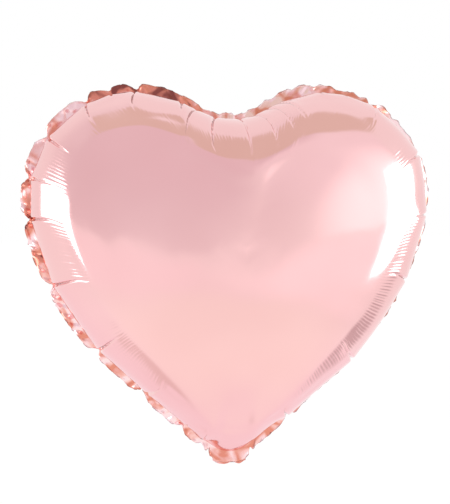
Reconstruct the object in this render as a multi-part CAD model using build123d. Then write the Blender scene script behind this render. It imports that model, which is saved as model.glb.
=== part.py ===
"""Heart-shaped foil balloon, inflated: two foil panels, their seam, a folding neck and a self-sealing valve."""

from build123d import *
import os
from math import atan2, cos, degrees, hypot, radians, sin

# The inflated heart, over the seam flange. X is across, Y from front to back, Z up.
width = 380.0
depth = 170.0
lobe_radius = 103.0
lobe_height = 249.0        # of the lobe arcs' centres above the neck's fold
cleft_height = 325.0       # of the lowest point between the lobes
side_radius = 252.0
side_from = -11.5          # degrees on the lobe arc where the side arc takes over
side_to = -48.0            # degrees on the side arc where the straight side starts
tip_radius = 30.0          # where the seam rounds the bottom tip

# Films. The real foil is about 0.04 mm thick, and these are thick enough to mesh.
foil = 0.5
valve_ply = 0.2
weld = 2 * valve_ply       # the welded layer is as thick as the valve that passes through it

# Seam
flange_width = 9.0
weld_width = 5.0

# Neck, folded up behind the balloon
neck_width = 38.0
neck_length = 62.0
neck_weld_width = 4.0
stub_height = 50.0         # where the neck's films have run into the panels
fold_gap = 3.0             # from the fold's axis to each film, so that the fold can close
fold_angle = 143.0         # degrees that the neck is turned from hanging straight down

# Self-sealing valve, two clear plies welded along their sides
valve_width = 26.0
valve_top = 112.0
valve_weld_width = 3.0
valve_mouth = 40.0         # how far the valve reaches down the neck from the fold
flap_root = 42.0           # height where the front ply is free to lift off the back ply
flap_gap = 0.6

# Dome levels as shares: height over the seam, size of the seam's outline, how round that outline has become,
# and how far the bottom tip is drawn in beyond it.
dome_levels = (
    (0.000, 1.000, 0.00, 0.000),
    (0.180, 0.990, 0.01, 0.045),
    (0.370, 0.950, 0.06, 0.110),
    (0.520, 0.890, 0.14, 0.130),
    (0.690, 0.780, 0.30, 0.110),
    (0.830, 0.630, 0.52, 0.060),
    (0.940, 0.430, 0.80, 0.010),
    (0.992, 0.230, 0.97, 0.000),
    (1.000, 0.120, 1.00, 0.000),
)
dome_centre = 205.0        # height of the crown
round_radius = 150.0       # of the round outline that the heart turns into near the crown
tip_spread = 40            # the higher, the narrower the drawn-in tip
outline_points = 60

lobe_x = width / 2 - lobe_radius
cleft_rise = cleft_height - lobe_height
cleft_radius = (lobe_x**2 + cleft_rise**2 - lobe_radius**2) / (2 * (lobe_radius - cleft_rise))


def polar(centre, radius, angle):
    """The point at that angle, in degrees, on a circle in the heart's plane."""
    return (centre[0] + radius * cos(radians(angle)), centre[1] + radius * sin(radians(angle)))


def arc(*points):
    return ThreePointArc(*(Vector(x, z) for x, z in points))


def heart_outline(inset):
    """The heart's edge moved inwards by inset, drawn flat, from the cleft clockwise."""
    lobe = (lobe_x, lobe_height)
    cleft = (0.0, cleft_height + cleft_radius)
    side = polar(lobe, lobe_radius - side_radius, side_from)
    to_cleft = degrees(atan2(cleft[1] - lobe[1], cleft[0] - lobe[0]))

    cleft_bottom = (0.0, cleft_height - inset)
    cleft_end = polar(lobe, lobe_radius - inset, to_cleft)
    cleft_middle = polar(cleft, cleft_radius + inset, (to_cleft - 180 - 90) / 2)
    lobe_top = polar(lobe, lobe_radius - inset, (to_cleft + side_from) / 2)
    lobe_end = polar(lobe, lobe_radius - inset, side_from)
    side_middle = polar(side, side_radius - inset, (side_from + side_to) / 2)
    side_end = polar(side, side_radius - inset, side_to)

    # The straight side runs to the rounded tip, whose centre is on the middle line.
    down_x, down_z = sin(radians(side_to)), -cos(radians(side_to))
    corner = side_end[1] - side_end[0] / down_x * down_z
    tip_centre = (0.0, corner + tip_radius / sin(radians(-side_to)))
    tip_start = polar(tip_centre, tip_radius, side_to)
    tip_middle = polar(tip_centre, tip_radius, (side_to - 90) / 2)
    tip_bottom = polar(tip_centre, tip_radius, -90)

    right = [
        arc(cleft_bottom, cleft_middle, cleft_end),
        arc(cleft_end, lobe_top, lobe_end),
        arc(lobe_end, side_middle, side_end),
        Line(side_end, tip_start),
        arc(tip_start, tip_middle, tip_bottom),
    ]
    return Wire(right + [edge.mirror(Plane.YZ) for edge in right])


def heart_slab(inset, y_range):
    """The flat heart, smaller all round by inset, as a layer between two depths."""
    upright = Face(heart_outline(inset)).rotate(Axis.X, 90)
    return extrude(upright.translate((0, y_range[0], 0)), amount=y_range[1] - y_range[0], dir=(0, 1, 0))


def strip(x_range, y_range, z_range):
    """A rectangular piece of film."""
    ranges = (x_range, y_range, z_range)
    return Pos(*(sum(r) / 2 for r in ranges)) * Box(*(r[1] - r[0] for r in ranges))


def hung_neck(piece):
    """Turns a piece of the neck, drawn hanging straight down, to where it is folded up behind the balloon."""
    return piece.rotate(Axis.X, fold_angle)


neck_edge = neck_width / 2
valve_edge = valve_width / 2
front_film = (-weld / 2 - foil, -weld / 2)
back_film = (weld / 2, weld / 2 + foil)
weld_layer = (-weld / 2, weld / 2)

seam_wire = heart_outline(flange_width)
seam_points = [seam_wire.position_at(i / outline_points) for i in range(outline_points)]


def level_wire(height, scale, roundness, tip_draw, inset):
    """The dome's outline at one level, on the front side."""
    points = []
    for point in seam_points:
        x, z = point.X, point.Y - dome_centre
        reach = hypot(x, z)
        drawn_in = 1 - tip_draw * max(0.0, -z / reach) ** tip_spread
        grown = scale * drawn_in * ((1 - roundness) * reach + roundness * round_radius) - inset
        points.append(Vector(x / reach * grown, -weld / 2 - height, dome_centre + z / reach * grown))
    return Wire([Spline(*points, periodic=True)])


def dome(inset):
    """The space under the front dome, from the seam plane to the crown, smaller all over by inset."""
    crown = depth / 2 - weld / 2 - inset
    return Solid.make_loft([level_wire(share * crown, *level, inset) for share, *level in dome_levels])


def make_front_panel():
    """The domed front foil with its flat flange and the stub of the neck, one film."""
    flange = heart_slab(0, front_film) + strip((-neck_edge, neck_edge), front_film, (fold_gap, stub_height))
    hollow = dome(foil)
    return (flange - hollow + (dome(0) - hollow)).solid()


def make_seam_weld():
    """The welded layer round the chamber, with a slot where the valve passes through."""
    legs = strip((-neck_edge, neck_edge), weld_layer, (fold_gap, stub_height))
    chamber = heart_slab(flange_width, (-weld, weld))
    slot = strip((-valve_edge, valve_edge), (-weld, weld), (0, stub_height))
    return heart_slab(flange_width - weld_width, weld_layer) + legs - chamber - slot


front_panel = make_front_panel()
free_height = (flap_root + flap_gap, valve_top)
sealed_height = (fold_gap, flap_root)
ply_x = (valve_weld_width - valve_edge, valve_edge - valve_weld_width)
front_ply_y = (-valve_ply, 0)
back_ply_y = (0, valve_ply)
neck_z = (-neck_length, -fold_gap)
inlet_z = (-valve_mouth, -fold_gap)

nodes = {
    "front_panel": front_panel,
    "back_panel": front_panel.mirror(Plane.XZ),
    "seam_weld": make_seam_weld(),
    "valve_back_ply": strip(ply_x, back_ply_y, (fold_gap, valve_top)),
    "valve_throat_ply": strip(ply_x, front_ply_y, sealed_height),
    "valve_flap_ply": strip(ply_x, front_ply_y, free_height),
    "neck_front_ply": hung_neck(strip((-neck_edge, neck_edge), front_film, neck_z)),
    "neck_back_ply": hung_neck(strip((-neck_edge, neck_edge), back_film, neck_z)),
    "valve_inlet_front_ply": hung_neck(strip((-valve_edge, valve_edge), front_ply_y, inlet_z)),
    "valve_inlet_back_ply": hung_neck(strip((-valve_edge, valve_edge), back_ply_y, inlet_z)),
}
for side, sign in (("left", -1), ("right", 1)):
    valve_x = sorted((sign * valve_edge, sign * (valve_edge - valve_weld_width)))
    neck_x = sorted((sign * neck_edge, sign * (neck_edge - neck_weld_width)))
    nodes[f"valve_{side}_weld"] = strip(valve_x, weld_layer, sealed_height)
    nodes[f"neck_{side}_weld"] = hung_neck(strip(neck_x, weld_layer, neck_z))

os.makedirs("parts", exist_ok=True)
for name, shape in nodes.items():
    export_step(shape, f"parts/{name}.step")
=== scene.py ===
# A heart-shaped foil balloon, filled: two foil panels gathered along a crimped rim, the weld between them,
# the neck folded up behind and the self-sealing valve inside. X is across, -Y is the front, Z is up.
import math

import bpy
import numpy as np
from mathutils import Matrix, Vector
from mathutils.bvhtree import BVHTree


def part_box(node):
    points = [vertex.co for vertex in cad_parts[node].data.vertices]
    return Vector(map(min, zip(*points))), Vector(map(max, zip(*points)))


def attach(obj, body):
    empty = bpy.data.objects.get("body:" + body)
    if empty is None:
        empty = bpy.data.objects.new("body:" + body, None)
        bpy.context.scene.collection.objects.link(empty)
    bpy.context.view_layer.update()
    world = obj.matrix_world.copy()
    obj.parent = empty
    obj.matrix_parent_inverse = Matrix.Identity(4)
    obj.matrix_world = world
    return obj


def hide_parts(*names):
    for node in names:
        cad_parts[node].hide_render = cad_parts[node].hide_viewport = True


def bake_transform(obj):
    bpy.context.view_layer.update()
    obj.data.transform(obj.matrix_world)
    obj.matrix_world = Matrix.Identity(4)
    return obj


mm = 0.001

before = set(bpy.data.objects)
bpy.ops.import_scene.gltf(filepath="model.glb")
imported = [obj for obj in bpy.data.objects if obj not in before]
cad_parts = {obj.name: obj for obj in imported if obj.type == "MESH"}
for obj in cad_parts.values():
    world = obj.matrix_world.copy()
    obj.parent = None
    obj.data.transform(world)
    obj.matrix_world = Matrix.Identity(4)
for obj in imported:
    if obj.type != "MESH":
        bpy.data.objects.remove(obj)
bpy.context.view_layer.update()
print("frame loaded:", sorted(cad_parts))


# Small helpers.
def ease(low, high, value):
    t = np.clip((np.asarray(value, float) - low) / (high - low), 0, 1)
    return t * t * (3 - 2 * t)


def smoothRound(values, spread):
    # blurs a closed row of values, spread counted in samples
    count = len(values)
    wave = np.fft.rfftfreq(count) * 2 * np.pi * spread
    soft = np.exp(-0.5 * wave**2)
    soft = soft.reshape((-1,) + (1,) * (values.ndim - 1))
    return np.fft.irfft(np.fft.rfft(values, axis=0) * soft, count, axis=0)


def roundNoise(count, cells, rng):
    # smooth random values between about -1 and 1 round a closed row
    knots = rng.uniform(-1, 1, cells)
    place = np.arange(count) / count * cells
    before = np.floor(place).astype(int)
    share = ease(0, 1, place - before)
    return knots[before % cells] * (1 - share) + knots[(before + 1) % cells] * share


def zigzag(value):
    # straight ups and downs between -1 and 1, one in each unit
    return 4 * np.abs(value - np.floor(value + 0.5)) - 1


def pieceFromMesh(name, points, faces, smooth=True):
    mesh = bpy.data.meshes.new(name)
    mesh.from_pydata([tuple(p) for p in points], [], faces)
    mesh.validate()
    mesh.update()
    mesh.polygons.foreach_set("use_smooth", [smooth] * len(mesh.polygons))
    piece = bpy.data.objects.new(name, mesh)
    bpy.context.scene.collection.objects.link(piece)
    return piece


def outwards(points, faces):
    # turns every face round if the closed mesh is inside out
    volume = 0.0
    for face in faces:
        a, b, c = (points[i] for i in face[:3])
        volume += np.dot(a, np.cross(b, c))
        if len(face) == 4:
            volume += np.dot(a, np.cross(c, points[face[3]]))
    return faces if volume > 0 else [tuple(reversed(face)) for face in faces]


def slab(name, outer, inner):
    # a closed sheet between two grids of points of the same size
    rows, columns = outer.shape[:2]
    points = np.vstack([outer.reshape(-1, 3), inner.reshape(-1, 3)])
    under = rows * columns
    faces = []
    for i in range(rows - 1):
        for j in range(columns - 1):
            a = i * columns + j
            b, c, d = a + columns, a + columns + 1, a + 1
            faces.append((a, b, c, d))
            faces.append((d + under, c + under, b + under, a + under))
    rim = [i * columns for i in range(rows)]
    rim += [(rows - 1) * columns + j for j in range(1, columns)]
    rim += [i * columns + columns - 1 for i in range(rows - 2, -1, -1)]
    rim += [j for j in range(columns - 2, 0, -1)]
    for k, a in enumerate(rim):
        b = rim[(k + 1) % len(rim)]
        faces.append((b, a, a + under, b + under))
    return pieceFromMesh(name, points, outwards(points, faces))


# Materials.
foilLook = {
    "roseColour": (0.93, 0.585, 0.585),
    "roseShade": (0.90, 0.55, 0.55),
    "roseRoughness": (0.10, 0.15),
    "facetSize": 0.016,
    "petalReflectionContrast": 0.23,
    "darkReflectionFacet": (0.26, 0.075, 0.065),      # painted reflections on the facets of the crimped rim, from the darkest to the palest
    "copperReflectionFacet": (0.74, 0.27, 0.20),
    "roseReflectionFacet": (0.88, 0.47, 0.43),
    "paleHighlightFacet": (0.97, 0.71, 0.73),
    "crimpRoughness": (0.12, 0.26),
    "weldColours": ((0.62, 0.30, 0.27), (0.80, 0.45, 0.42)),
    "weldRoughness": (0.3, 0.45),
    "valveColours": ((0.90, 0.93, 0.95), (0.97, 0.98, 0.99)),
    "valveRoughness": (0.08, 0.2),
}


def newMaterial(name):
    material = bpy.data.materials.new(name)
    material.use_nodes = True
    nodes = material.node_tree.nodes
    return material, nodes, material.node_tree.links, nodes["Principled BSDF"]


def speckle(nodes, links, size, detail=2.0):
    # a noise in the piece's own coordinates, size in metres
    place = nodes.new("ShaderNodeTexCoord")
    noise = nodes.new("ShaderNodeTexNoise")
    noise.inputs["Scale"].default_value = 1 / size
    noise.inputs["Detail"].default_value = detail
    links.new(place.outputs["Object"], noise.inputs["Vector"])
    return noise


def mixColours(nodes, links, factor, low, high, start=0.35, end=0.65):
    ramp = nodes.new("ShaderNodeValToRGB")
    ramp.color_ramp.elements[0].position = start
    ramp.color_ramp.elements[1].position = end
    ramp.color_ramp.elements[0].color = (*low, 1)
    ramp.color_ramp.elements[1].color = (*high, 1)
    links.new(factor, ramp.inputs["Fac"])
    return ramp.outputs["Color"]


def spreadRange(nodes, links, factor, low, high):
    remap = nodes.new("ShaderNodeMapRange")
    remap.inputs["From Min"].default_value = 0.3
    remap.inputs["From Max"].default_value = 0.7
    remap.inputs["To Min"].default_value = low
    remap.inputs["To Max"].default_value = high
    links.new(factor, remap.inputs["Value"])
    return remap.outputs["Result"]


def makeRoseFoil():
    material, nodes, links, shader = newMaterial("roseFoil")
    shader.inputs["Metallic"].default_value = 1.0
    tint = speckle(nodes, links, 0.12)
    links.new(mixColours(nodes, links, tint.outputs["Fac"], foilLook["roseShade"], foilLook["roseColour"]),
              shader.inputs["Base Color"])
    haze = speckle(nodes, links, 0.03)
    links.new(spreadRange(nodes, links, haze.outputs["Fac"], *foilLook["roseRoughness"]),
              shader.inputs["Roughness"])
    return material


def makeCrimpedFoil():
    material, nodes, links, shader = newMaterial("crimpedFoil")
    shader.inputs["Metallic"].default_value = 1.0
    # painted reflections: a noise gives each patch of the rim a colour from dark maroon to pale rose,
    # standing in for the dark and bright surroundings that the crumpled facets reflect
    reflectionTone = speckle(nodes, links, foilLook["facetSize"], 1.5)
    reflectionTone.inputs["Distortion"].default_value = 0.8
    ramp = nodes.new("ShaderNodeValToRGB")
    steps = ((0.25, "darkReflectionFacet"), (0.36, "copperReflectionFacet"), (0.45, "copperReflectionFacet"), (0.54, "roseReflectionFacet"),
             (0.66, "paleHighlightFacet"))
    for k, (start, colour) in enumerate(steps):
        point = ramp.color_ramp.elements[k] if k < 2 else ramp.color_ramp.elements.new(start)
        point.position = start
        point.color = (*foilLook[colour], 1)
    # each petal's painted reflection shifts its facets darker or paler
    petal = nodes.new("ShaderNodeAttribute")
    petal.attribute_name = "petalReflectionTone"
    shifted = nodes.new("ShaderNodeMath")
    shifted.operation = "MULTIPLY_ADD"
    shifted.inputs[1].default_value = foilLook["petalReflectionContrast"]
    links.new(petal.outputs["Fac"], shifted.inputs[0])
    links.new(reflectionTone.outputs["Fac"], shifted.inputs[2])
    links.new(shifted.outputs[0], ramp.inputs["Fac"])
    links.new(ramp.outputs["Color"], shader.inputs["Base Color"])
    haze = speckle(nodes, links, 0.006)
    links.new(spreadRange(nodes, links, haze.outputs["Fac"], *foilLook["crimpRoughness"]),
              shader.inputs["Roughness"])
    return material


def makeWeldedFoil():
    material, nodes, links, shader = newMaterial("weldedFoil")
    shader.inputs["Metallic"].default_value = 0.6
    haze = speckle(nodes, links, 0.004)
    links.new(mixColours(nodes, links, haze.outputs["Fac"], *foilLook["weldColours"]),
              shader.inputs["Base Color"])
    links.new(spreadRange(nodes, links, haze.outputs["Fac"], *foilLook["weldRoughness"]),
              shader.inputs["Roughness"])
    return material


def makeValveFilm():
    material, nodes, links, shader = newMaterial("valveFilm")
    shader.inputs["Transmission Weight"].default_value = 0.85
    shader.inputs["IOR"].default_value = 1.5
    haze = speckle(nodes, links, 0.008)
    links.new(mixColours(nodes, links, haze.outputs["Fac"], *foilLook["valveColours"]),
              shader.inputs["Base Color"])
    links.new(spreadRange(nodes, links, haze.outputs["Fac"], *foilLook["valveRoughness"]),
              shader.inputs["Roughness"])
    return material


roseFoil = makeRoseFoil()
crimpedFoil = makeCrimpedFoil()
weldedFoil = makeWeldedFoil()
valveFilm = makeValveFilm()
print("materials made")


# The filled shape, from the CAD panel.
shape = {
    "columns": 1280,          # of points round the seam, halved again and again towards the crown
    "profileSamples": 72,     # of each profile from the seam to the crown
    "evenArc": 62,            # mm of arc from the seam that has every column
    "rowGap": 1.9,            # mm between the rows there
    "bandArc": 116,           # mm of arc from the seam that the gathers can reach
    "bandGap": 2.6,
    "filmThickness": 0.5,     # mm
    "halfWeld": 0.2,          # mm between the films' middle and each film
    "seed": 7,
    "liftPower": 1.7,         # crowds the profile's samples towards the seam
    "rayStart": 0.4,          # metres from the middle, clear of the panel
}
foilSide = -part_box("front_panel")[1].y        # the panel's inner face, from the middle plane
crownHeight = 0.205                           # of the roundest point of the dome, above the neck's fold
centre = np.array([0.0, 0.0, crownHeight])
columnCount = shape["columns"]


def castProfiles(panel):
    # radius and height of the panel's outer face for each column, from the seam to the crown
    corners = [v.co.copy() for v in panel.data.vertices]
    tree = BVHTree.FromPolygons(corners, [tuple(f.vertices) for f in panel.data.polygons])
    skin = foilSide + shape["filmThickness"] * mm
    middle = Vector((0, -skin - 0.1 * mm, crownHeight))
    lifts = math.pi / 2 * np.linspace(0, 1, shape["profileSamples"]) ** shape["liftPower"]

    def hitFrom(start, ray):
        return tree.ray_cast(start + ray * shape["rayStart"], -ray)[0]

    def castRing(angles):
        ring = np.zeros((len(angles), len(lifts), 2))
        for i, angle in enumerate(angles):
            for j, lift in enumerate(lifts):
                flat = math.cos(lift)
                ray = Vector((math.sin(angle) * flat, -math.sin(lift), math.cos(angle) * flat))
                hit = hitFrom(middle, ray)
                ring[i, j] = (math.hypot(hit.x, hit.z - crownHeight), -hit.y)
        return ring

    def castEdge(angles):
        start = Vector((0, -(foilSide + skin) / 2, crownHeight))
        rays = [Vector((math.sin(a), 0, math.cos(a))) for a in angles]
        return np.array([(hitFrom(start, ray) - start).length for ray in rays])

    # a first coarse round finds the seam's length, so that the columns stand evenly along it
    coarse = np.linspace(0, 2 * np.pi, 721)
    rays = [Vector((math.sin(a), 0, math.cos(a))) for a in coarse]
    radius = np.array([math.hypot(*(hitFrom(middle, ray) - middle).xz) for ray in rays])
    x, z = radius * np.sin(coarse), radius * np.cos(coarse)
    along = np.r_[0, np.cumsum(np.hypot(np.diff(x), np.diff(z)))]
    angles = np.interp(np.arange(columnCount) / columnCount * along[-1], along, coarse)
    return angles, castRing(angles), castEdge(angles), along[-1]


angles, profiles, edgeRadius, seamLength = castProfiles(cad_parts["front_panel"])
columnGap = seamLength / columnCount
outward = np.stack([np.sin(angles), np.zeros(columnCount), np.cos(angles)], 1)
print(f"profiles cast: the seam is {seamLength / mm:.0f} mm round, a column every {columnGap / mm:.2f} mm")


def rowArcs():
    # arc from the seam of each row in mm, and for the rows past the band how much of the way on to the crown
    near = [0, 0.35, 1.2] + list(np.arange(2.6, shape["evenArc"], shape["rowGap"]))
    band = list(np.arange(near[-1] + shape["bandGap"], shape["bandArc"], shape["bandGap"]))
    return near, band, [0.04, 0.09, 0.15, 0.23, 0.33, 0.44, 0.55, 0.66, 0.77, 0.86, 0.93]


nearArcs, bandArcs, crownShares = rowArcs()
# up to which share of the way on to the crown each size of step between kept columns holds
crownSteps = ((0.05, 1), (0.1, 2), (0.35, 4), (0.7, 8), (1, 16))


def baseRows():
    # (radius, height) of every column at every row, blurred so that the CAD mesh's facets don't show
    part = np.arange(shape["profileSamples"]) / shape["profileSamples"]
    ratio = profiles[:, :, 0].mean(0) / profiles[:, 0, 0].mean()
    spread = (1.2 + 16 * ease(0.0, 0.5, part)) / np.maximum(ratio, 0.06)
    soft = np.stack([smoothRound(profiles[:, j], spread[j]) for j in range(len(part))], 1)
    soft[:, -1, 0] = 0
    steps = np.hypot(*np.moveaxis(np.diff(soft, axis=1), 2, 0))
    arcs = np.concatenate([np.zeros((columnCount, 1)), np.cumsum(steps, 1)], 1)
    length = arcs[:, -1]
    wanted = [np.full(columnCount, a * mm) for a in nearArcs + bandArcs]
    wanted += [bandArcs[-1] * mm + (length - bandArcs[-1] * mm) * s for s in crownShares]
    wanted = np.stack(wanted, 1)
    fine = np.linspace(0, 1, 400)
    rows = np.zeros((columnCount, wanted.shape[1], 2))
    reach, spread = 30, 9.0      # of the blur along each profile, in fine steps
    kernel = np.exp(-0.5 * (np.arange(-reach, reach + 1) / spread) ** 2)
    kernel /= kernel.sum()
    for i in range(columnCount):
        for k, mirror in ((0, -1), (1, 1)):
            line = np.interp(fine * length[i], arcs[i], soft[i, :, k])
            # past both ends the profile goes on: straight at the seam, mirrored at the crown
            head = 2 * line[0] - line[reach:0:-1]
            tail = mirror * line[-2:-reach - 2:-1]
            blurred = np.convolve(np.r_[head, line, tail], kernel, "valid")
            rows[i, :, k] = np.interp(wanted[i], fine * length[i], blurred)
    rows[:, 0] = soft[:, 0]
    return rows, wanted / mm


base, arcAt = baseRows()
bandRows = len(nearArcs) + len(bandArcs)
arcOfRow = np.array(nearArcs + bandArcs)
print(f"base surface: {base.shape[1]} rows")


# Gathers of the rim.

# Each gather: where it starts on the seam and where it ends, in degrees clockwise from the notch between
# the lobes, how far in from the seam it runs, seen from the front, and how deep its valley is, in mm.
gathers = (
    (3, 5, 36, 4.5), (8, 20, 48, 4.5), (13, 28, 52, 4.0), (16, 30, 36, 3.0),
    (29, 32, 5, 3.0), (36, 39, 4, 3.0),
    (46, 48, 21, 6.0), (65, 64, 28, 7.0), (82, 81, 19, 6.0), (103, 99, 28, 6.5), (134, 133, 26, 7.0),
    (161, 164, 19, 6.0), (188, 188, 15, 4.5), (195, 194, 5, 3.5), (211, 209, 21, 7.0), (232, 236, 26, 7.0),
    (258, 261, 28, 8.0), (278, 280, 21, 7.0), (289, 290, 18, 5.0), (301, 300, 21, 7.0), (315, 311, 19, 6.0),
    (322, 321, 4, 3.0), (329, 323, 19, 6.0), (342, 337, 17, 4.5), (348.5, 331, 54, 4.5), (355, 343, 43, 4.5),
)
# where the rim meets the face: degrees from the notch, and mm in from the seam, seen from the front
ridgeLine = ((0, 41), (12, 44), (30, 44), (48, 26), (70, 28), (100, 29), (134, 27), (160, 23), (180, 19),
             (208, 23), (236, 27), (262, 29), (290, 26), (312, 24), (333, 38), (348, 43), (360, 41))
# the comb of ripples: degrees from the notch, where it starts and ends in mm in from the seam, and how strong
combLine = ((0, 8, 31, 1.1), (20, 9, 36, 1.1), (35, 9, 34, 0.5), (50, 8, 26, 0.5), (70, 8, 28, 0.9),
            (100, 9, 28, 0.9), (134, 9, 26, 0.9), (160, 8, 22, 0.8), (180, 6, 18, 0.4), (208, 8, 22, 0.9),
            (236, 9, 26, 1.0), (262, 9, 28, 1.0), (290, 8, 26, 0.8), (312, 8, 26, 0.4), (333, 10, 34, 0.5),
            (348, 9, 34, 1.1), (360, 8, 31, 1.1))
# how far the real rim stands from an even heart: degrees from the notch, and mm outwards
rimShift = ((0, 0), (22, 0), (42, -4.5), (62, -2), (85, 0), (112, 2), (136, 4), (156, 2), (172, 0),
            (186, 0), (200, 0.5), (220, 0), (360, 0))
rim = {
    "shiftArc": 60,           # mm of arc over which the shift fades
    "tipDrop": 3.0,           # mm that the rim hangs lower at the tip, over so many degrees and mm of arc
    "tipSpread": 8,
    "tipArc": 12,
    "tipClear": (9, 24),      # mm beside the tip's middle where the rim starts to swell, clear of the neck
    "swellRise": 13,          # mm of arc in which the rim swells, and where the swelling has gone again
    "swellFade": (20, 85),
    "ridgeRise": 30,          # mm of arc in which the ridge rises
    "ridgeFaint": (12, 40, 112, 128),    # degrees from the notch between which the ridge is faint
    "faintness": 0.75,
    "flatFade": (2, 58),      # mm past the ridge where the rim runs round again
    "flatEnd": (80, 114),     # mm of arc where that is over in any case
    "gatherHold": (0.8, 1.25),    # shares of a gather's reach where it lets go of the rim
    "valleyRise": 11,         # mm of arc in which a valley gets its full depth
    "filling": 0.8,           # share of what the rim is cut in by that it swells between the gathers
    "ridge": 2.8,             # mm that the rim's inner edge stands proud
    "ridgeWidth": 20,
    "bulge": 3.6,             # mm that the rim swells out past the seam
    "ridgeRound": 3.0,
    "crownClear": (6, 48),    # mm from the crown where the ridge has faded, and where it starts to
    "flatness": 0.92,         # how straight the rim runs from gather to gather
    "flatLimit": 4.5,         # mm that it may cut in by
    "valleyAtSeam": 0.3,      # share of a gather's depth that the seam itself follows
    "valleyWidth": (4.2, 1.6),    # mm on each side, at the seam and at the gather's end
    "faceWave": 0.25,         # mm of slow waves over the face
}
# painted reflection of the petal that starts at each gather, from -1 (dark copper) to 1 (pale rose): the
# darkest stand for petals that face dark surroundings
petalReflectionTones = (0.5, 0.5, 0.4, 0.4, 0.5, 0.1, 0.4, 0.2, 0.3, 0.1, 0.4, 0.3, 0.4, 0.3,
              0.2, 0.35, 0.0, -0.15, 0.3, 0.45, -0.3, -1.0, -1.0, -0.5, 0.0, 0.45)
flange = {
    "rows": (0.04, 0.2, 0.4, 0.6, 0.8, 1.0),
    "notch": 6.5,             # mm that the edge is drawn in at a gather
    "notchWidth": 3.6,
    "cleftNotch": 2.0,
    "leanLeft": 12,           # degrees that the flange leans back
    "leanRight": 38,
    "crumple": 2.8,           # mm at the edge
    "facet": (17.0, 9.5),      # mm, the two sizes of facet along the edge
    "stubCorner": 6.0,        # mm that the corners beside the neck are drawn up
    "stubWave": 1.1,          # mm
    "flare": 0.25,            # mm that the films part past the weld
}


def columnOf(degrees):
    return np.interp(np.radians(degrees), np.r_[angles, 2 * np.pi], np.arange(columnCount + 1))


gatherSeam = columnOf([g[0] for g in gathers])
gatherDepth = np.array([g[3] for g in gathers])
columnDegrees = np.degrees(angles)


def nearestGap(position):
    # columns between each column and a place on the seam, the shorter way round
    gap = np.abs(np.arange(columnCount) - position % columnCount)
    return np.minimum(gap, columnCount - gap)


def holdCorners(places, points, hold):
    # corners of the rim's polygon at one row: an ended gather slides onto the line between its neighbours
    count = len(places)
    before, after = np.roll(gatherSeam, 1), np.roll(gatherSeam, -1)
    before[0] -= columnCount
    after[-1] += columnCount
    share = (gatherSeam - before) / (after - before)
    matrix = np.eye(count)
    for k in range(count):
        matrix[k, k - 1] -= (1 - hold[k]) * (1 - share[k])
        matrix[k, (k + 1) % count] -= (1 - hold[k]) * share[k]
    known = hold * places
    known[0] -= (1 - hold[0]) * (1 - share[0]) * columnCount
    known[-1] += (1 - hold[-1]) * share[-1] * columnCount
    place = np.linalg.solve(matrix, known)
    wrapped = np.vstack([points, points[:1]])
    at = place % columnCount
    corners = np.stack([np.interp(at, np.arange(columnCount + 1), wrapped[:, k]) for k in range(3)], 1)
    return place, np.linalg.solve(matrix, hold[:, None] * corners)


def alongPolygon(place, corners):
    # a point on the polygon for each column
    order = np.argsort(place)
    place, corners = place[order], corners[order]
    long = np.r_[place - columnCount, place, place + columnCount]
    wide = np.vstack([corners] * 3)
    return np.stack([np.interp(np.arange(columnCount), long, wide[:, k]) for k in range(3)], 1)


shiftRound = smoothRound(np.interp(columnDegrees, *np.array(rimShift).T), 12)
tipRound = rim["tipDrop"] * np.exp(-((columnDegrees - 180) / rim["tipSpread"]) ** 2)


def rimOffset(arc):
    # mm outwards at each column, at that arc from the seam
    return shiftRound * (1 - ease(0, rim["shiftArc"], arc)) + tipRound * (1 - ease(0, rim["tipArc"], arc))


def reachIn(place, distance):
    # arc in mm from the seam at that column, for a distance in mm from the seam as seen from the front
    column = int(place) % columnCount
    radius = base[column, :, 0]
    return float(np.interp(distance * mm, radius[0] - radius, arcAt[column]))


def reachAll(distances):
    # the same for every column
    return smoothRound(np.array([reachIn(i, distances[i]) for i in range(columnCount)]), 8)


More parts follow.
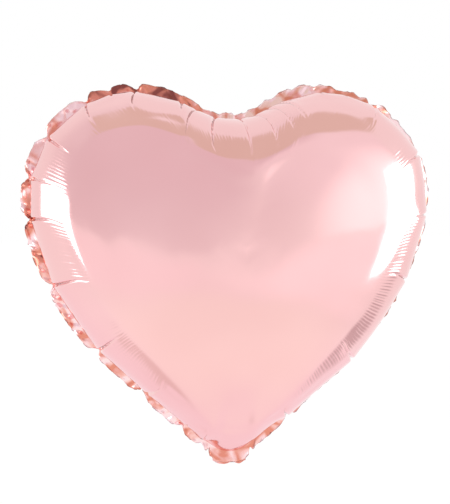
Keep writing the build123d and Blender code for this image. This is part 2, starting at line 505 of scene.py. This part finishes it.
def domeRows(side, gatherRows):
    # every point of one panel's dome: side is -1 for the front and 1 for the back
    rng = np.random.default_rng(shape["seed"] + side)
    ends = columnOf(np.array([g[1] for g in gatherRows]) % 360)
    ends += np.round((gatherSeam - ends) / columnCount) * columnCount
    reach = np.array([min(reachIn(place, g[2]), shape["bandArc"] - 12) for place, g in zip(ends, gatherRows)])
    rows, marks = [], []
    drift = 0.6 * roundNoise(columnCount, 40, rng) + 0.6 * roundNoise(columnCount, 170, rng)
    ridgeIn = smoothRound(np.interp(columnDegrees, *np.array(ridgeLine).T), 20)
    ridgeArc = reachAll(ridgeIn)
    combPlace, *combValues = np.array(combLine).T
    combIn = [np.interp(columnDegrees, combPlace, values) for values in combValues]
    combFrom, combTo = reachAll(combIn[0]), reachAll(combIn[1])
    faintFrom, faintFull, faintTo, faintOver = rim["ridgeFaint"]
    faint = ease(faintFrom, faintFull, columnDegrees) * (1 - ease(faintTo, faintOver, columnDegrees))
    ridgeShare = 1 - rim["faintness"] * faint
    besideTip = ease(*rim["tipClear"], np.abs(base[:, 0, 0] * outward[:, 0]) / mm)
    besideTip = np.where(outward[:, 2] < 0, besideTip, 1)
    for j in range(base.shape[1]):
        radius, height = base[:, j, 0], base[:, j, 1]
        points = centre + outward * radius[:, None] + np.array([0, side, 0]) * height[:, None]
        # the profile's slope gives the way out of the balloon
        low, high = base[:, max(j - 1, 0)], base[:, min(j + 1, base.shape[1] - 1)]
        slope = smoothRound(high - low, 3)
        slope /= np.linalg.norm(slope, axis=1)[:, None]
        normal = outward * slope[:, 1:2] - np.array([0, side, 0]) * slope[:, 0:1]
        if arcAt[0, j] < 1:
            normal = outward
        off = np.hypot(arcAt[:, j] - ridgeArc, rim["ridgeRound"]) - rim["ridgeRound"]
        proud = rim["ridge"] * ridgeShare * np.exp(-off / rim["ridgeWidth"])
        proud = proud * ease(0, rim["ridgeRise"], arcAt[:, j]) * ease(*rim["crownClear"], radius / mm)
        swell = rim["bulge"] * ease(0, rim["swellRise"], arcAt[:, j])
        swell = swell * (1 - ease(*rim["swellFade"], arcAt[:, j]))
        points = points + normal * ((proud + swell) * besideTip * mm)[:, None]
        points = points + outward * (rimOffset(arcAt[:, j]) * mm)[:, None]
        if j >= bandRows:
            rows.append(points)
            marks.append((np.zeros(columnCount), np.full(columnCount, 99.0)))
            continue
        arc = arcOfRow[j]
        run = np.clip(arc / reach, 0, 1)
        hold = np.maximum(1 - ease(*rim["gatherHold"], arc / reach), 0.02)
        place, corners = holdCorners(gatherSeam + (ends - gatherSeam) * run, points, hold)
        cut = alongPolygon(place, corners) - points
        size = np.linalg.norm(cut, axis=1)[:, None] + 1e-9
        limit = rim["flatLimit"] * mm
        cut = cut / size * limit * np.tanh(size / limit)
        cut = smoothRound(cut, 1.3)
        share = rim["flatness"] * (1 - ease(*rim["flatFade"], arc - ridgeArc))
        share = (share * (1 - ease(*rim["flatEnd"], arc)))[:, None]
        average = smoothRound(np.linalg.norm(cut, axis=1), 26)
        moved = points + cut * share

        stride = np.linalg.norm(np.roll(points, -1, 0) - points, axis=1)
        width = np.interp(run, (0, 1), rim["valleyWidth"])
        valley = np.zeros(columnCount)
        toGather = np.full(columnCount, 99.0)
        for k in range(len(gatherRows)):
            local = stride[int(place[k]) % columnCount] / mm
            gap = nearestGap(place[k]) * local
            if arc < reach[k] * 1.2 + 12:
                toGather = np.minimum(toGather, gap)
            if run[k] >= 1:
                continue
            # the swollen rim is drawn in by as much again where it is gathered
            rise = rim["valleyAtSeam"] + (1 - rim["valleyAtSeam"]) * ease(0, rim["valleyRise"], arc)
            depth = (gatherDepth[k] * rise + 0.5 * float(swell[0])) * (1 - run[k] ** 1.5)
            q = np.clip(1 - gap / width[k], 0, 1)
            valley = np.maximum(valley, depth * (1 - np.sqrt(1 - q * q)))
        moved = moved + normal * (average * share[:, 0] * rim["filling"] - valley * mm)[:, None]
        moved[:, 1] = side * np.maximum(side * moved[:, 1], base[0, 0, 1] * 0.98)
        rows.append(moved)
        inComb = (arc - combFrom) / (combTo - combFrom)
        window = ease(0, 0.5, inComb + 0.25 * drift) * combIn[2]
        window = window * (1 - ease(0.8, 1.1, inComb + 0.12 * drift))
        marks.append((window, toGather))
    return rows, marks


def slowWaves(points, rng):
    # faint waves over the face, so that its reflections aren't perfectly even
    wave = np.zeros(len(points))
    for _ in range(9):
        turn, length, phase = rng.uniform(0, np.pi), rng.uniform(0.07, 0.16), rng.uniform(0, 2 * np.pi)
        along = points[:, 0] * math.cos(turn) + points[:, 2] * math.sin(turn)
        wave += np.sin(along / length * 2 * np.pi + phase)
    return wave / 3


def flangeRows(seam):
    # middle surface of the crimped flange, outwards from the seam: drawn in at each gather, crumpled between
    rng = np.random.default_rng(shape["seed"])
    along = np.arange(columnCount) * columnGap / mm
    notch = np.zeros(columnCount)
    for k, place in enumerate(gatherSeam):
        start = gathers[k][0]
        inCleft = start < 32 or start > 335
        deep = flange["cleftNotch"] if inCleft else flange["notch"] * min(1, 0.4 + gatherDepth[k] / 10)
        gap = nearestGap(place) * columnGap / mm
        notch = np.maximum(notch, deep * np.exp(-0.5 * (gap / flange["notchWidth"]) ** 2))
    sideways = outward[:, 0] * edgeRadius / mm
    beside, below = np.abs(sideways), outward[:, 2] < 0
    atTip = np.where(below, 1 - ease(14, 26, beside), 0)
    atStub = np.where(below, 1 - ease(15, 20, beside), 0)
    shift = np.minimum(shiftRound, 4) * (1 - atStub)
    shift = shift - flange["stubCorner"] * ease(11, 19, beside) * (1 - ease(20, 23, beside)) * below
    shift = shift - flange["stubWave"] * (0.5 + 0.5 * np.sin(sideways / 1.6 + 0.7)) * atStub
    edge = centre + outward * (edgeRadius + (shift - notch * (1 - atTip)) * mm)[:, None]
    across = edge - seam
    across[:, 1] = 0
    width = np.linalg.norm(across, axis=1)
    across /= width[:, None]
    width = np.maximum(width, 2 * mm)
    leanShare = ease(-0.12, 0.17, seam[:, 0])
    lean = np.radians(flange["leanLeft"] + (flange["leanRight"] - flange["leanLeft"]) * leanShare)
    lean = lean * (1 - atTip) + np.radians(14) * roundNoise(columnCount, 46, rng) * (1 - atTip)
    warp = along + 3.2 * roundNoise(columnCount, 90, rng)
    strength = (0.75 + 0.45 * roundNoise(columnCount, 60, rng)) * (1 - atTip)
    rows = []
    for w in (0.0,) + flange["rows"]:
        first = zigzag(warp / flange["facet"][0] + 0.45 * w)
        second = zigzag(warp / flange["facet"][1] - 0.7 * w + 0.3)
        crumple = (0.6 * first + 0.4 * second) * strength * flange["crumple"] * mm * min(1, 1.15 * w)
        reach = width * w
        row = seam + across * (reach * np.cos(lean) + crumple * np.sin(lean))[:, None]
        row[:, 1] += reach * np.sin(lean) + crumple * np.cos(lean)
        rows.append(row)
    return rows


def rowNormals(rows):
    # normals of a closed band of rows, pointing to the front
    grid = np.stack(rows, 0)
    around = np.roll(grid, -1, 1) - np.roll(grid, 1, 1)
    out = np.gradient(grid, axis=0)
    normal = np.cross(around, out)
    normal /= np.linalg.norm(normal, axis=2)[:, :, None] + 1e-12
    return normal * np.where(normal[:, :, 1:2] > 0, -1.0, 1.0)


def stitch(rings):
    # closed mesh through a chain of rings, each as long as the last, half or twice as long, with two poles
    points = np.vstack(rings)
    starts = np.r_[0, np.cumsum([len(r) for r in rings])]
    faces = []
    for k in range(len(rings) - 1):
        a, b, n, m = starts[k], starts[k + 1], len(rings[k]), len(rings[k + 1])
        if m == 1:
            faces += [(a + i, a + (i + 1) % n, b) for i in range(n)]
        elif n == 1:
            faces += [(a, b + (i + 1) % m, b + i) for i in range(m)]
        elif n == m:
            faces += [(a + i, a + (i + 1) % n, b + (i + 1) % n, b + i) for i in range(n)]
        elif n == 2 * m:
            for i in range(m):
                left, mid, right = a + 2 * i, a + 2 * i + 1, a + (2 * i + 2) % n
                faces += [(left, mid, b + i), (mid, right, b + (i + 1) % m), (mid, b + (i + 1) % m, b + i)]
        else:
            for i in range(n):
                left, mid, right = b + 2 * i, b + 2 * i + 1, b + (2 * i + 2) % m
                faces += [(a + i, mid, left), (a + (i + 1) % n, right, mid), (a + i, a + (i + 1) % n, mid)]
    return points, faces


innerSkin = {
    "flat": ((2, 3.0), (4, 7.0), (8, 12.0)),    # step between kept columns, and mm in from the seam
    "rim": ((24, 12), (38, 11), (52, 9), (66, 6), (80, 3.5), (95, 2.5)),    # mm of arc, and mm under the foil
    "crown": ((0.23, 16), (0.55, 16), (0.86, 32)),    # share of the way on to the crown, and the step
    "depth": 2,               # mm under the foil there
}


def panelRings(side, rows, marks, middleRows):
    # outer skin from the crown to the flange's edge, back along its inner face, and a coarse inner skin
    front = rowNormals(middleRows)
    crown = np.array([[0, rows[-1][:, 1].mean(), crownHeight]])
    rings, ripple, onFlange = [crown], [np.zeros(1)], [False]
    for j in range(len(rows) - 1, -1, -1):
        share = crownShares[j - bandRows] if j >= bandRows else 0
        step = 1
        if j >= bandRows:
            step = next(size for limit, size in crownSteps if share < limit)
        ring = rows[j][::step]
        arc = arcOfRow[j] if j < bandRows else 150
        wave = slowWaves(rows[j], np.random.default_rng(shape["seed"] + 5))[::step]
        ring = ring + np.array([0, side, 0]) * (wave * rim["faceWave"] * mm * ease(70, 130, arc))[:, None]
        window, toGather = marks[j]
        mask = window * (0.6 + 0.4 * np.exp(-toGather / 13))
        rings.append(ring)
        ripple.append(mask[::step])
        onFlange.append(False)
    film, gap = shape["filmThickness"] * mm, shape["halfWeld"] * mm
    flare = [gap + flange["flare"] * mm * ease(0.55, 1, w) for w in (0,) + flange["rows"]]
    turn = 1.0 if side < 0 else -1.0
    for w in range(1, len(middleRows)):
        rings.append(middleRows[w] + front[w] * turn * (flare[w] + film))
    for w in range(len(middleRows) - 1, 0, -1):
        rings.append(middleRows[w] + front[w] * turn * flare[w])
    inner = middleRows[0].copy()
    inner[:, 1] = side * gap
    rings.append(inner)
    ripple += [np.zeros(columnCount)] * (2 * len(middleRows) - 1)
    onFlange += [True] * (2 * len(middleRows) - 1)
    # the inner skin leaves the seam flat, then follows the dome well clear of the valleys
    for step, inset in innerSkin["flat"]:
        ring = (inner - outward * inset * mm)[::step]
        rings.append(ring)
    for arc, depth in innerSkin["rim"]:
        j = int(np.argmin(np.abs(arcOfRow - arc)))
        slope = base[:, j + 1] - base[:, j - 1]
        slope /= np.linalg.norm(slope, axis=1)[:, None]
        normal = outward * slope[:, 1:2] - np.array([0, side, 0]) * slope[:, 0:1]
        point = centre + outward * base[:, j, 0:1] + np.array([0, side, 0]) * base[:, j, 1:2]
        rings.append((point - normal * depth * mm)[::8])
    for share, step in innerSkin["crown"]:
        j = bandRows + crownShares.index(share)
        rings.append((rows[j] - np.array([0, side, 0]) * innerSkin["depth"] * mm)[::step])
    rings.append(crown - np.array([[0, side * innerSkin["depth"] * mm, 0]]))
    count = len(rings) - len(ripple)
    ripple += [np.zeros(len(r)) for r in rings[-count:]]
    onFlange += [False] * count
    return rings, np.concatenate(ripple), onFlange


combLook = {
    "combStep": 3.3,          # mm from ridge to ridge
    "combDepth": 0.30,        # mm
    "combDrift": 1.1,         # mm that the ridges stray from even steps
    "combSeed": 3,
}


def combTree():
    # fine parallel ripples where the gathers run out, and the finish of each part of the film
    tree = bpy.data.node_groups.new("combRipples", "GeometryNodeTree")
    face = tree.interface
    face.new_socket("Geometry", in_out="INPUT", socket_type="NodeSocketGeometry")
    sockets = {}
    for name, kind, value in (("combStep", "NodeSocketFloat", combLook["combStep"] * mm),
                              ("combDepth", "NodeSocketFloat", combLook["combDepth"] * mm),
                              ("combSeed", "NodeSocketInt", combLook["combSeed"])):
        socket = face.new_socket(name, in_out="INPUT", socket_type=kind)
        socket.default_value = value
        sockets[name] = socket.identifier
    face.new_socket("Geometry", in_out="OUTPUT", socket_type="NodeSocketGeometry")
    nodes, link = tree.nodes, tree.links.new
    inputs, outputs = nodes.new("NodeGroupInput"), nodes.new("NodeGroupOutput")

    def attribute(name, kind):
        node = nodes.new("GeometryNodeInputNamedAttribute")
        node.data_type = kind
        node.inputs["Name"].default_value = name
        return node.outputs["Attribute"]

    def compute(operation, a, b=None):
        node = nodes.new("ShaderNodeMath")
        node.operation = operation
        for socket, value in zip(node.inputs, (a, b)):
            if value is None:
                continue
            if isinstance(value, (int, float)):
                socket.default_value = value
            else:
                link(value, socket)
        return node.outputs[0]

    phase = compute("DIVIDE", attribute("alongSeam", "FLOAT"), inputs.outputs["combStep"])
    whole = compute("FLOOR", phase)
    chance = nodes.new("FunctionNodeRandomValue")
    chance.data_type = "FLOAT"
    chance.inputs[2].default_value = 0.4
    chance.inputs[3].default_value = 1.0
    link(whole, chance.inputs["ID"])
    link(inputs.outputs["combSeed"], chance.inputs["Seed"])
    turn = compute("MULTIPLY", compute("FRACT", phase), 2 * math.pi)
    ridge = compute("MULTIPLY", compute("SUBTRACT", 1.0, compute("COSINE", turn)), 0.5)
    height = compute("MULTIPLY", compute("MULTIPLY", ridge, chance.outputs[1]), attribute("ripple", "FLOAT"))
    height = compute("MULTIPLY", height, inputs.outputs["combDepth"])
    normal = nodes.new("GeometryNodeInputNormal")
    scale = nodes.new("ShaderNodeVectorMath")
    scale.operation = "SCALE"
    link(normal.outputs[0], scale.inputs[0])
    link(height, scale.inputs["Scale"])
    shift = nodes.new("GeometryNodeSetPosition")
    link(inputs.outputs["Geometry"], shift.inputs["Geometry"])
    link(scale.outputs[0], shift.inputs["Offset"])
    real = nodes.new("GeometryNodeRealizeInstances")
    link(shift.outputs[0], real.inputs[0])
    plain, crimped = nodes.new("GeometryNodeSetMaterial"), nodes.new("GeometryNodeSetMaterial")
    plain.inputs["Material"].default_value = roseFoil
    crimped.inputs["Material"].default_value = crimpedFoil
    link(real.outputs[0], plain.inputs["Geometry"])
    link(plain.outputs[0], crimped.inputs["Geometry"])
    link(attribute("onFlange", "BOOLEAN"), crimped.inputs["Selection"])
    link(crimped.outputs[0], outputs.inputs["Geometry"])
    return tree, sockets


comb, combSockets = combTree()


def addComb(piece):
    # runs the ripples on a panel and keeps the result as a plain mesh
    modifier = piece.modifiers.new("comb", "NODES")
    modifier.node_group = comb
    modifier[combSockets["combStep"]] = combLook["combStep"] * mm
    modifier[combSockets["combDepth"]] = combLook["combDepth"] * mm
    modifier[combSockets["combSeed"]] = combLook["combSeed"]
    evaluated = piece.evaluated_get(bpy.context.evaluated_depsgraph_get())
    mesh = bpy.data.meshes.new_from_object(evaluated)
    piece.modifiers.remove(modifier)
    piece.data = mesh


def makePanel(name, side, gatherRows, middleRows=None):
    rows, marks = domeRows(side, gatherRows)
    if middleRows is None:
        seam = rows[0].copy()
        seam[:, 1] = 0
        middleRows = flangeRows(seam)
    rings, ripple, onFlange = panelRings(side, rows, marks, middleRows)
    points, faces = stitch(rings)
    faces = outwards(points, faces)
    piece = pieceFromMesh(name, points, faces)
    along = []
    for ring in rings:
        count = max(len(ring), 1)
        place = np.arange(count) * (seamLength / count)
        along.append(place + combLook["combDrift"] * mm * roundNoise(count, 131, np.random.default_rng(21)))
    mesh = piece.data
    mesh.attributes.new("alongSeam", "FLOAT", "POINT").data.foreach_set("value", np.concatenate(along))
    mesh.attributes.new("ripple", "FLOAT", "POINT").data.foreach_set("value", ripple)
    ringOf = np.repeat(np.arange(len(rings)), [len(r) for r in rings])
    flangeStart = onFlange.index(True)
    crimped = []
    for polygon in mesh.polygons:
        parts = [onFlange[ringOf[v]] for v in polygon.vertices]
        atStart = ringOf[max(polygon.vertices)] < flangeStart + 2
        crimped.append(bool(all(parts) or any(parts) and atStart))
    # painted reflection of each petal, handed to the rim's material
    petal = np.searchsorted(gatherSeam, np.arange(columnCount), side="right") - 1
    reflectionTone = smoothRound(np.array(petalReflectionTones)[petal], 1.5)
    reflectionTones = [reflectionTone[::columnCount // len(ring)] if len(ring) > 1 else np.zeros(1) for ring in rings]
    mesh.attributes.new("petalReflectionTone", "FLOAT", "POINT").data.foreach_set("value", np.concatenate(reflectionTones))
    mesh.attributes.new("onFlange", "BOOLEAN", "FACE").data.foreach_set("value", crimped)
    addComb(piece)
    triangles = sum(len(p.vertices) - 2 for p in piece.data.polygons)
    print(name, len(piece.data.vertices), "points,", triangles, "triangles")
    return piece, middleRows


def backGathers():
    # the back gathers at the same places along the seam and runs out a little differently
    rng = np.random.default_rng(shape["seed"] + 40)
    return [(start, end + rng.uniform(-2, 2) * (reach > 30), reach * rng.uniform(0.85, 1.1), depth)
            for start, end, reach, depth in gathers]


frontPanel, flangeMiddle = makePanel("frontPanel", -1, gathers)
backPanel, _ = makePanel("backPanel", 1, backGathers(), flangeMiddle)
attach(frontPanel, "root")
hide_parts("front_panel")
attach(backPanel, "root")
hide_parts("back_panel")


# The weld between the films.
weldLook = {
    "width": 5.0,             # mm outwards from the seam
    "slotHalf": 13.3,         # mm on each side of the middle, left open for the valve
    "legHalf": 19.5,          # mm, where the weld runs on down to the neck
}


def makeSeamWeld():
    normal = rowNormals(flangeMiddle)
    flangeMm = np.linalg.norm(flangeMiddle[-1] - flangeMiddle[0], axis=1) / mm
    seamX = flangeMiddle[0][:, 0] / mm
    below = outward[:, 2] < 0
    share = np.minimum(weldLook["width"] / flangeMm, 0.8)
    leg = below * (1 - ease(weldLook["legHalf"], weldLook["legHalf"] + 3, np.abs(seamX)))
    share = share * (1 - leg) + 0.97 * leg
    keep = ~(below & (np.abs(seamX) < weldLook["slotHalf"]))
    first = int(np.where(~keep)[0].max()) + 1
    order = (first + np.arange(int(keep.sum()))) % columnCount
    grid, normals = np.stack(flangeMiddle, 0), normal
    levels = np.r_[0, flange["rows"]]
    half = shape["halfWeld"] * mm * 0.9
    outer, inner = [], []
    for part in (0.02, 0.34, 0.67, 1.0):
        at = share * part
        upper = np.clip(np.searchsorted(levels, at), 1, len(levels) - 1)
        mixShare = ((at - levels[upper - 1]) / (levels[upper] - levels[upper - 1]))[:, None]
        index = np.arange(columnCount)
        row = grid[upper - 1, index] * (1 - mixShare) + grid[upper, index] * mixShare
        lift = normals[upper - 1, index] * (1 - mixShare) + normals[upper, index] * mixShare
        outer.append((row + lift * half)[order])
        inner.append((row - lift * half)[order])
    piece = slab("seamWeld", np.stack(outer, 1), np.stack(inner, 1))
    piece.data.materials.append(weldedFoil)
    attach(piece, "root")
    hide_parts("seam_weld")
    return piece


makeSeamWeld()
print("weld made")


# The neck, folded up behind.
neck = {
    "halfWidth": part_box("neck_front_ply")[1].x / mm,
    "length": 62,             # mm from the fold to the mouth
    "turn": 143,              # degrees from hanging to folded up
    "foldRadius": 1.3,        # mm
    "start": 5.6,             # mm above the fold where the neck's films leave the panels
    "weldWidth": 4,
    "inletHalf": 13,
    "inletEnd": 40,
    "crumple": 1.1,           # mm
    "foldEnds": 2.6,          # mm that the ends of the fold are drawn up
    "pinch": 0.2,             # share of its width that the neck loses at the fold
}


foldRadius, foldTurn = neck["foldRadius"], math.radians(neck["turn"])
foldRun = foldRadius * (1 - math.cos(foldTurn)) / math.sin(foldTurn)    # mm along the neck to the bend's end
foldTop = foldRadius * math.sin(foldTurn) - foldRun * math.cos(foldTurn)
straight = neck["start"] - foldTop            # mm of film before the bend
bend = foldRadius * foldTurn                  # mm of film in the bend


def neckPath(distance):
    # (y, z) in mm of the neck's middle line and its front normal, by distance from its start
    if distance < straight:
        return (0.0, neck["start"] - distance), (-1.0, 0.0)
    if distance < straight + bend:
        turned = (distance - straight) / foldRadius
        place = (foldRadius - foldRadius * math.cos(turned), foldTop - foldRadius * math.sin(turned))
        return place, (-math.cos(turned), -math.sin(turned))
    along = foldRun + distance - straight - bend
    place = (math.sin(foldTurn) * along, -math.cos(foldTurn) * along)
    return place, (-math.cos(foldTurn), -math.sin(foldTurn))


def neckDistance(along):
    # distance from the start for a place so far along the neck from the fold's axis
    return straight + bend + along - foldRun


def neckBump(x, distance):
    # creases of the limp neck, none at the fold
    crease = 0.5 * zigzag(x / 17 + distance / 41 + 0.2) + 0.3 * zigzag(x / 9.5 - distance / 23) \
        + 0.35 * math.sin(distance / 9.0 + x / 14)
    return neck["crumple"] * crease * ease(neckDistance(7), neckDistance(20), distance)


def foldSag(x, distance):
    # the fold isn't straight: it waves a little and its ends are drawn up
    wave = 0.7 * math.sin(x / 4.1 + 0.8) + 0.35 * math.sin(x / 2.3)
    return (wave + neck["foldEnds"] * ease(11, 19.5, abs(x))) * (1 - ease(10, 24, distance))


def neckStrip(name, sides, distances, low, high, material, nodes):
    # one film or weld of the neck, between two offsets in mm in front of the middle line
    xs = np.linspace(*sides, max(3, int(abs(sides[1] - sides[0]) / 1.2) + 1))
    steps = np.unique(np.r_[np.linspace(distances[0], distances[1], 50),
                            np.clip(np.linspace(straight - 1, straight + 6, 24), *distances)])
    faces = []
    for offset in (high, low):
        grid = np.zeros((len(steps), len(xs), 3))
        for i, distance in enumerate(steps):
            (y, z), (ny, nz) = neckPath(distance)
            for j, x in enumerate(xs):
                out = offset + neckBump(x, distance)
                narrow = 1 - neck["pinch"] * (1 - float(ease(6, 28, distance)))
                sag = foldSag(x, distance)
                grid[i, j] = (x * narrow * mm, (y + ny * out) * mm, (z + nz * out + sag) * mm)
        faces.append(grid)
    piece = slab(name, faces[0], faces[1])
    piece.data.materials.append(material)
    if distances[0] < straight:
        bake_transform(piece)
    else:
        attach(piece, "neck")
    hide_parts(*nodes)
    return piece


half = neck["halfWidth"]
end = neckDistance(neck["length"])
weldGap, film = shape["halfWeld"], shape["filmThickness"]
neckStrip("neckFrontPly", (-half, half), (0, end), weldGap, weldGap + film, crimpedFoil,
          ["neck_front_ply"])
neckStrip("neckBackPly", (-half, half), (0, end), -weldGap - film, -weldGap, crimpedFoil,
          ["neck_back_ply"])
for sideName, sign in (("Left", -1), ("Right", 1)):
    sides = sorted((sign * half, sign * (half - neck["weldWidth"])))
    neckStrip(f"neck{sideName}Weld", sides, (0, end), -weldGap * 0.9, weldGap * 0.9, weldedFoil,
              [f"neck_{sideName.lower()}_weld"])
inlet = neck["inletHalf"]
for plyName, low, high in (("Front", 0.02, 0.19), ("Back", -0.19, -0.02)):
    neckStrip(f"valveInlet{plyName}Ply", (-inlet, inlet), (0.3, neckDistance(neck["inletEnd"])), low, high,
              valveFilm, [f"valve_inlet_{plyName.lower()}_ply"])
print("neck made")

# The valve inside keeps the CAD's own plies.

for name in ("valve_back_ply", "valve_throat_ply", "valve_flap_ply", "valve_left_weld", "valve_right_weld"):
    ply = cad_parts[name]
    ply.data.materials.clear()
    ply.data.materials.append(valveFilm)


# Floor, studio light and camera.
studio = {
    "floorBelow": 0.6,        # metres under the neck's fold: the balloon floats
    "floorGlow": 0.84,
    "level": 1.0,
    "distance": 2.0,
    "azimuth": -10.0,
    "elevation": 6.0,
    "aim": (-0.004, 0.0, 0.198),
    "tall": 0.460,            # metres of the scene's height that the frame shows at the object
}


# place on the floor in metres, colour of its glow there, and the distances where it is full and where it
# ends: the floor glows as painted light, in brighter and darker patches that the foil reflects
floorGlowPatches = (
    ((-3.0, -3.6, 0), (1.06, 1.01, 1.04), 2.0, 4.0),
    ((3.8, -3.4, 0), (1.18, 1.15, 1.17), 2.2, 4.2),
    ((0.0, 0.7, 0), (0.98, 0.90, 0.96), 0.6, 1.6),
    ((0.1, -1.3, 0), (1.04, 1.05, 1.0), 0.6, 1.5),
    ((1.1, 0.2, 0), (0.54, 0.45, 0.47), 0.16, 0.52),
    ((-0.45, -0.12, 0), (0.80, 0.70, 0.68), 0.1, 0.36),
)
# direction, colour there, and the angles in degrees where it is full and where it ends
studioZones = (
    ((-0.5, -0.85, 0.7), (0.84, 0.775, 0.81), 12, 75),
    ((-0.1, -0.75, 0.65), (0.85, 0.77, 0.81), 4, 38),
    ((0.8, -0.8, 0.6), (1.0, 0.97, 1.0), 6, 30),
    ((-0.3, -0.22, 1), (0.80, 0.725, 0.635), 14, 20),
    ((0.12, -0.22, 1), (0.80, 0.725, 0.635), 15, 21),
    ((0.55, -0.2, 0.9), (0.80, 0.725, 0.635), 13, 19),
    ((1, -0.62, 0.0), (1.45, 1.45, 1.45), 4, 30),
)


def zone(nodes, link, colour, measure, tint, full, over):
    # lays a tint where a measured value is at its full mark, fading until it is over
    remap = nodes.new("ShaderNodeMapRange")
    remap.interpolation_type = "SMOOTHSTEP"
    remap.inputs["From Min"].default_value = over
    remap.inputs["From Max"].default_value = full
    link(measure, remap.inputs["Value"])
    mix = nodes.new("ShaderNodeMix")
    mix.data_type = "RGBA"
    link(remap.outputs["Result"], mix.inputs["Factor"])
    if colour is None:
        mix.inputs[6].default_value = (1, 1, 1, 1)
    else:
        link(colour, mix.inputs[6])
    mix.inputs[7].default_value = (*tint, 1)
    return mix.outputs[2]


def makeFloor():
    size = 8.0
    low = -studio["floorBelow"]
    corners = [(-size, -size, low), (size, -size, low), (size, size, low), (-size, size, low)]
    floor = pieceFromMesh("floor", np.array(corners), [(0, 1, 2, 3)], False)
    # the floor's look is painted light: it glows in brighter and darker patches, over a plain grey of its own
    material, nodes, links, shader = newMaterial("glowingFloor")
    place = nodes.new("ShaderNodeTexCoord")
    colour = None
    for spot, tint, full, over in floorGlowPatches:
        gap = nodes.new("ShaderNodeVectorMath")
        gap.operation = "DISTANCE"
        links.new(place.outputs["Object"], gap.inputs[0])
        gap.inputs[1].default_value = (spot[0], spot[1], low)
        colour = zone(nodes, links.new, colour, gap.outputs["Value"], tint, full, over)
    shader.inputs["Base Color"].default_value = (0.2, 0.2, 0.2, 1)
    shader.inputs["Roughness"].default_value = 1.0
    shader.inputs["Specular IOR Level"].default_value = 0.0
    links.new(colour, shader.inputs["Emission Color"])
    shader.inputs["Emission Strength"].default_value = studio["floorGlow"]
    floor.data.materials.append(material)


def makeWorld():
    # soft light by direction: white all round, warmer and dimmer overhead
    world = bpy.data.worlds.new("studio")
    bpy.context.scene.world = world
    world.use_nodes = True
    nodes, link = world.node_tree.nodes, world.node_tree.links.new
    background = nodes["Background"]
    place = nodes.new("ShaderNodeTexCoord")
    colour = None
    for toward, tint, full, over in studioZones:
        dot = nodes.new("ShaderNodeVectorMath")
        dot.operation = "DOT_PRODUCT"
        link(place.outputs["Generated"], dot.inputs[0])
        dot.inputs[1].default_value = Vector(toward).normalized()
        colour = zone(nodes, link, colour, dot.outputs["Value"], tint,
                      math.cos(math.radians(full)), math.cos(math.radians(over)))
    link(colour, background.inputs["Color"])
    background.inputs["Strength"].default_value = studio["level"]


def makeCamera():
    data = bpy.data.cameras.new("camera")
    camera = bpy.data.objects.new("camera", data)
    bpy.context.scene.collection.objects.link(camera)
    bpy.context.scene.camera = camera
    data.sensor_width = 36
    data.lens = data.sensor_width * studio["distance"] / studio["tall"]
    turn, rise = math.radians(studio["azimuth"]), math.radians(studio["elevation"])
    back = Vector((math.sin(turn) * math.cos(rise), -math.cos(turn) * math.cos(rise), math.sin(rise)))
    camera.location = Vector(studio["aim"]) + back * studio["distance"]
    camera.rotation_euler = (-back).to_track_quat("-Z", "Y").to_euler()
    data.clip_end = 60


# place, width and height in metres, and brightness of each softbox beside the balloon
softBoxes = {
    "leftBox": ((-1.2, -0.34, 0.2), 0.6, 1.25, 2.3),
    "rightBox": ((1.2, -0.25, 0.24), 0.8, 0.85, 2.6),
}


def makeSoftBox(name, location, width, height, brightness):
    light = bpy.data.lights.new(name, "AREA")
    light.shape = "RECTANGLE"
    light.size, light.size_y = width, height
    light.energy = brightness * math.pi * width * height
    lamp = bpy.data.objects.new(name, light)
    bpy.context.scene.collection.objects.link(lamp)
    lamp.visible_camera = False
    lamp.location = location
    lamp.rotation_euler = (Vector((0, 0, location[2])) - Vector(location)).to_track_quat("-Z", "Z").to_euler()


makeFloor()
makeWorld()
for name, values in softBoxes.items():
    makeSoftBox(name, *values)
makeCamera()
bpy.context.scene.view_settings.view_transform = "Standard"
print("studio made")
